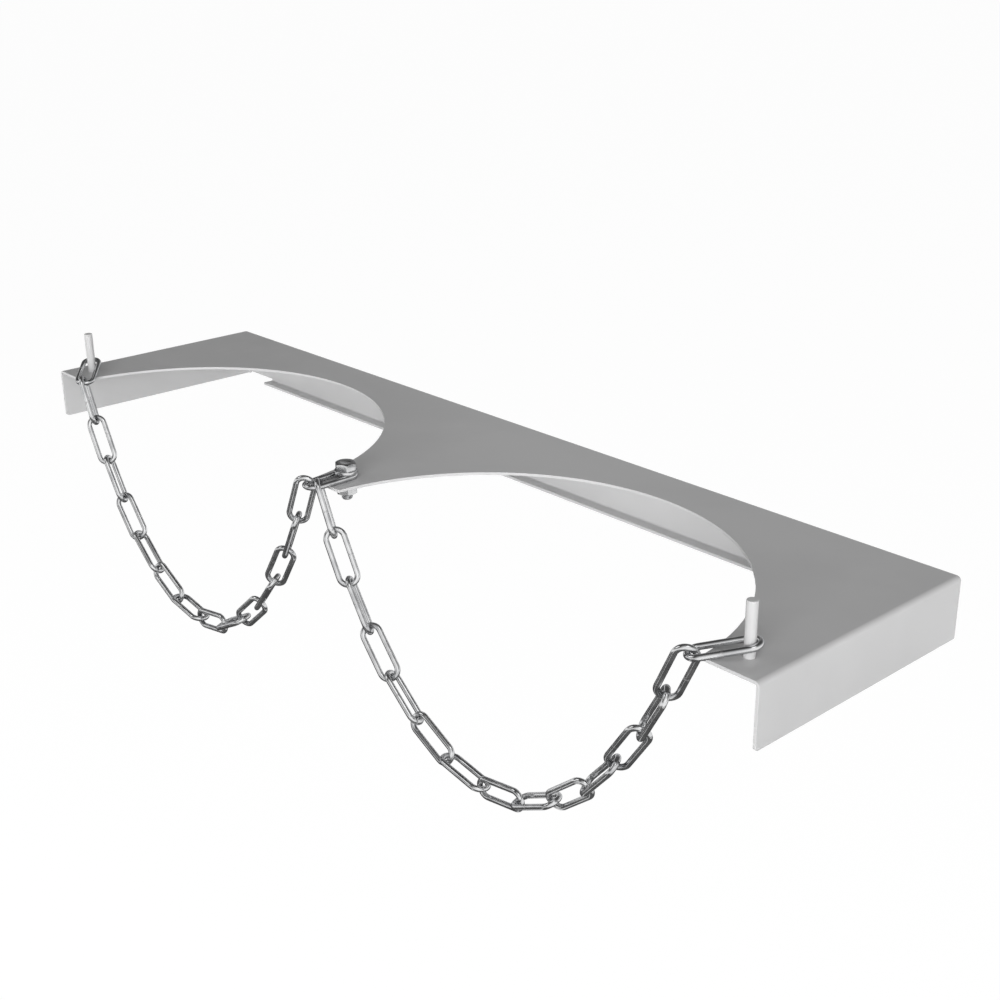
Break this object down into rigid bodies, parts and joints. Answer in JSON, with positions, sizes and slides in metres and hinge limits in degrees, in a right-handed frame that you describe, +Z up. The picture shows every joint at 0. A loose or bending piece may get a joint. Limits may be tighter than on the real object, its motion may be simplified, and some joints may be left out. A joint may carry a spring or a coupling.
{
  "type": "gas cylinder bracket",
  "caption": "Folded steel wall bracket with half-round bays for gas cylinders, each closed in front by a chain whose end link drops over a pin.",
  "frame": {"origin": "on the wall face, at the middle of the bracket's width and half-way up its side flanges", "axes": "+X along the wall to the right as seen from the front, +Y into the wall, +Z up"},
  "size_m": [0.56, 0.1502, 0.1476],
  "materials": {
    "powder_coat": "smooth light grey powder coat, slightly glossy",
    "zinc_chain": "bright zinc plated welded chain",
    "zinc_fasteners": "zinc plated, turned and rolled faces"
  },
  "bodies": {
    "bracket_body": {"bracket": "powder_coat", "left_pin": "powder_coat", "right_pin": "powder_coat", "hex_bolt": "zinc_fasteners", "upper_washer": "zinc_fasteners", "lower_washer": "zinc_fasteners", "hex_nut": "zinc_fasteners", "bolt_link": "zinc_chain", "left_pin_link": "zinc_chain", "right_pin_link": "zinc_chain"},
    "left_chain": {"left_link_01": "zinc_chain", "left_link_14": "zinc_chain"},
    "left_link_02": {"left_link_02": "zinc_chain"},
    "left_link_03": {"left_link_03": "zinc_chain"},
    "left_link_04": {"left_link_04": "zinc_chain"},
    "left_link_05": {"left_link_05": "zinc_chain"},
    "left_link_06": {"left_link_06": "zinc_chain"},
    "left_link_07": {"left_link_07": "zinc_chain"},
    "left_link_08": {"left_link_08": "zinc_chain"},
    "left_link_09": {"left_link_09": "zinc_chain"},
    "left_link_10": {"left_link_10": "zinc_chain"},
    "left_link_11": {"left_link_11": "zinc_chain"},
    "left_link_12": {"left_link_12": "zinc_chain"},
    "left_link_13": {"left_link_13": "zinc_chain"},
    "right_chain": {"right_link_01": "zinc_chain", "right_link_14": "zinc_chain"},
    "right_link_02": {"right_link_02": "zinc_chain"},
    "right_link_03": {"right_link_03": "zinc_chain"},
    "right_link_04": {"right_link_04": "zinc_chain"},
    "right_link_05": {"right_link_05": "zinc_chain"},
    "right_link_06": {"right_link_06": "zinc_chain"},
    "right_link_07": {"right_link_07": "zinc_chain"},
    "right_link_08": {"right_link_08": "zinc_chain"},
    "right_link_09": {"right_link_09": "zinc_chain"},
    "right_link_10": {"right_link_10": "zinc_chain"},
    "right_link_11": {"right_link_11": "zinc_chain"},
    "right_link_12": {"right_link_12": "zinc_chain"},
    "right_link_13": {"right_link_13": "zinc_chain"}
  },
  "joints": [
    {"name": "left_chain_swing", "type": "hinge", "parent": "bracket_body", "child": "left_chain", "pos_m": [-0.24559, -0.14165, 0.01453], "axis": [0.9999, -0.0143, 0.0084], "range_deg": [-22, 8]},
    {"name": "left_link_02_roll", "type": "hinge", "parent": "left_chain", "child": "left_link_02", "pos_m": [-0.22945, -0.14188, -0.01844], "axis": [0.4784, -0.0068, -0.8781], "range_deg": [-8, 8]},
    {"name": "left_link_03_roll", "type": "hinge", "parent": "left_chain", "child": "left_link_03", "pos_m": [-0.21615, -0.14207, -0.04046], "axis": [0.5549, -0.0079, -0.8319], "range_deg": [-15, 15]},
    {"name": "left_link_04_roll", "type": "hinge", "parent": "left_chain", "child": "left_link_04", "pos_m": [-0.20064, -0.14229, -0.06089], "axis": [0.6519, -0.0093, -0.7582], "range_deg": [-21, 21]},
    {"name": "left_link_05_roll", "type": "hinge", "parent": "left_chain", "child": "left_link_05", "pos_m": [-0.18235, -0.14255, -0.07883], "axis": [0.7706, -0.011, -0.6372], "range_deg": [-25, 25]},
    {"name": "left_link_06_roll", "type": "hinge", "parent": "left_chain", "child": "left_link_06", "pos_m": [-0.161, -0.14286, -0.09262], "axis": [0.8977, -0.0128, -0.4405], "range_deg": [-29, 29]},
    {"name": "left_chain_twist", "type": "hinge", "parent": "left_chain", "child": "left_link_07", "pos_m": [-0.13687, -0.1432, -0.10021], "axis": [0.9882, -0.0141, -0.1527], "range_deg": [-30, 30]},
    {"name": "left_link_08_roll", "type": "hinge", "parent": "left_chain", "child": "left_link_08", "pos_m": [-0.1117, -0.14356, -0.09988], "axis": [0.9838, -0.0141, 0.1788], "range_deg": [-31, 31]},
    {"name": "left_link_09_roll", "type": "hinge", "parent": "left_chain", "child": "left_link_09", "pos_m": [-0.08779, -0.14391, -0.09172], "axis": [0.8879, -0.0127, 0.4599], "range_deg": [-29, 29]},
    {"name": "left_link_10_roll", "type": "hinge", "parent": "left_chain", "child": "left_link_10", "pos_m": [-0.06664, -0.14421, -0.07749], "axis": [0.7603, -0.0109, 0.6494], "range_deg": [-25, 25]},
    {"name": "left_link_11_roll", "type": "hinge", "parent": "left_chain", "child": "left_link_11", "pos_m": [-0.04864, -0.14446, -0.05934], "axis": [0.6432, -0.0092, 0.7656], "range_deg": [-21, 21]},
    {"name": "left_link_12_roll", "type": "hinge", "parent": "left_chain", "child": "left_link_12", "pos_m": [-0.03331, -0.14468, -0.03872], "axis": [0.548, -0.0078, 0.8365], "range_deg": [-15, 15]},
    {"name": "left_link_13_roll", "type": "hinge", "parent": "left_chain", "child": "left_link_13", "pos_m": [-0.02018, -0.14487, -0.01663], "axis": [0.473, -0.0068, 0.881], "range_deg": [-8, 8]},
    {"name": "right_chain_swing", "type": "hinge", "parent": "bracket_body", "child": "right_chain", "pos_m": [0.00478, -0.14312, 0.01655], "axis": [0.9999, 0.0061, -0.0084], "range_deg": [-22, 8]},
    {"name": "right_link_02_roll", "type": "hinge", "parent": "right_chain", "child": "right_link_02", "pos_m": [0.0207, -0.14302, -0.01661], "axis": [0.4708, 0.0029, -0.8823], "range_deg": [-8, 8]},
    {"name": "right_link_03_roll", "type": "hinge", "parent": "right_chain", "child": "right_link_03", "pos_m": [0.03378, -0.14294, -0.03876], "axis": [0.5456, 0.0033, -0.838], "range_deg": [-15, 15]},
    {"name": "right_link_04_roll", "type": "hinge", "parent": "right_chain", "child": "right_link_04", "pos_m": [0.04903, -0.14285, -0.05939], "axis": [0.6409, 0.0039, -0.7676], "range_deg": [-21, 21]},
    {"name": "right_link_05_roll", "type": "hinge", "parent": "right_chain", "child": "right_link_05", "pos_m": [0.06702, -0.14274, -0.07764], "axis": [0.7584, 0.0046, -0.6518], "range_deg": [-25, 25]},
    {"name": "right_link_06_roll", "type": "hinge", "parent": "right_chain", "child": "right_link_06", "pos_m": [0.08808, -0.14261, -0.0919], "axis": [0.8867, 0.0054, -0.4622], "range_deg": [-29, 29]},
    {"name": "right_chain_twist", "type": "hinge", "parent": "right_chain", "child": "right_link_07", "pos_m": [0.11202, -0.14247, -0.10012], "axis": [0.9836, 0.006, -0.18], "range_deg": [-30, 30]},
    {"name": "right_link_08_roll", "type": "hinge", "parent": "right_chain", "child": "right_link_08", "pos_m": [0.13718, -0.14231, -0.10046], "axis": [0.9882, 0.006, 0.1534], "range_deg": [-31, 31]},
    {"name": "right_link_09_roll", "type": "hinge", "parent": "right_chain", "child": "right_link_09", "pos_m": [0.16125, -0.14217, -0.09285], "axis": [0.8968, 0.0055, 0.4425], "range_deg": [-29, 29]},
    {"name": "right_link_10_roll", "type": "hinge", "parent": "right_chain", "child": "right_link_10", "pos_m": [0.18262, -0.14204, -0.07897], "axis": [0.7688, 0.0047, 0.6394], "range_deg": [-25, 25]},
    {"name": "right_link_11_roll", "type": "hinge", "parent": "right_chain", "child": "right_link_11", "pos_m": [0.20082, -0.14192, -0.06102], "axis": [0.6498, 0.004, 0.7601], "range_deg": [-21, 21]},
    {"name": "right_link_12_roll", "type": "hinge", "parent": "right_chain", "child": "right_link_12", "pos_m": [0.21629, -0.14183, -0.04051], "axis": [0.5526, 0.0034, 0.8334], "range_deg": [-15, 15]},
    {"name": "right_link_13_roll", "type": "hinge", "parent": "right_chain", "child": "right_link_13", "pos_m": [0.22952, -0.14175, -0.01849], "axis": [0.4762, 0.0029, 0.8793], "range_deg": [-8, 8]}
  ],
  "couplings": [
    {"joint": "left_link_02_roll", "follows": "left_chain_twist", "ratio": 0.2411},
    {"joint": "left_link_03_roll", "follows": "left_chain_twist", "ratio": 0.4681},
    {"joint": "left_link_04_roll", "follows": "left_chain_twist", "ratio": 0.668},
    {"joint": "left_link_05_roll", "follows": "left_chain_twist", "ratio": 0.829},
    {"joint": "left_link_06_roll", "follows": "left_chain_twist", "ratio": 0.9419},
    {"joint": "left_link_08_roll", "follows": "left_chain_twist", "ratio": 1},
    {"joint": "left_link_09_roll", "follows": "left_chain_twist", "ratio": 0.9419},
    {"joint": "left_link_10_roll", "follows": "left_chain_twist", "ratio": 0.829},
    {"joint": "left_link_11_roll", "follows": "left_chain_twist", "ratio": 0.668},
    {"joint": "left_link_12_roll", "follows": "left_chain_twist", "ratio": 0.4681},
    {"joint": "left_link_13_roll", "follows": "left_chain_twist", "ratio": 0.2411},
    {"joint": "right_link_02_roll", "follows": "right_chain_twist", "ratio": 0.2411},
    {"joint": "right_link_03_roll", "follows": "right_chain_twist", "ratio": 0.4681},
    {"joint": "right_link_04_roll", "follows": "right_chain_twist", "ratio": 0.668},
    {"joint": "right_link_05_roll", "follows": "right_chain_twist", "ratio": 0.829},
    {"joint": "right_link_06_roll", "follows": "right_chain_twist", "ratio": 0.9419},
    {"joint": "right_link_08_roll", "follows": "right_chain_twist", "ratio": 1},
    {"joint": "right_link_09_roll", "follows": "right_chain_twist", "ratio": 0.9419},
    {"joint": "right_link_10_roll", "follows": "right_chain_twist", "ratio": 0.829},
    {"joint": "right_link_11_roll", "follows": "right_chain_twist", "ratio": 0.668},
    {"joint": "right_link_12_roll", "follows": "right_chain_twist", "ratio": 0.4681},
    {"joint": "right_link_13_roll", "follows": "right_chain_twist", "ratio": 0.2411}
  ]
}
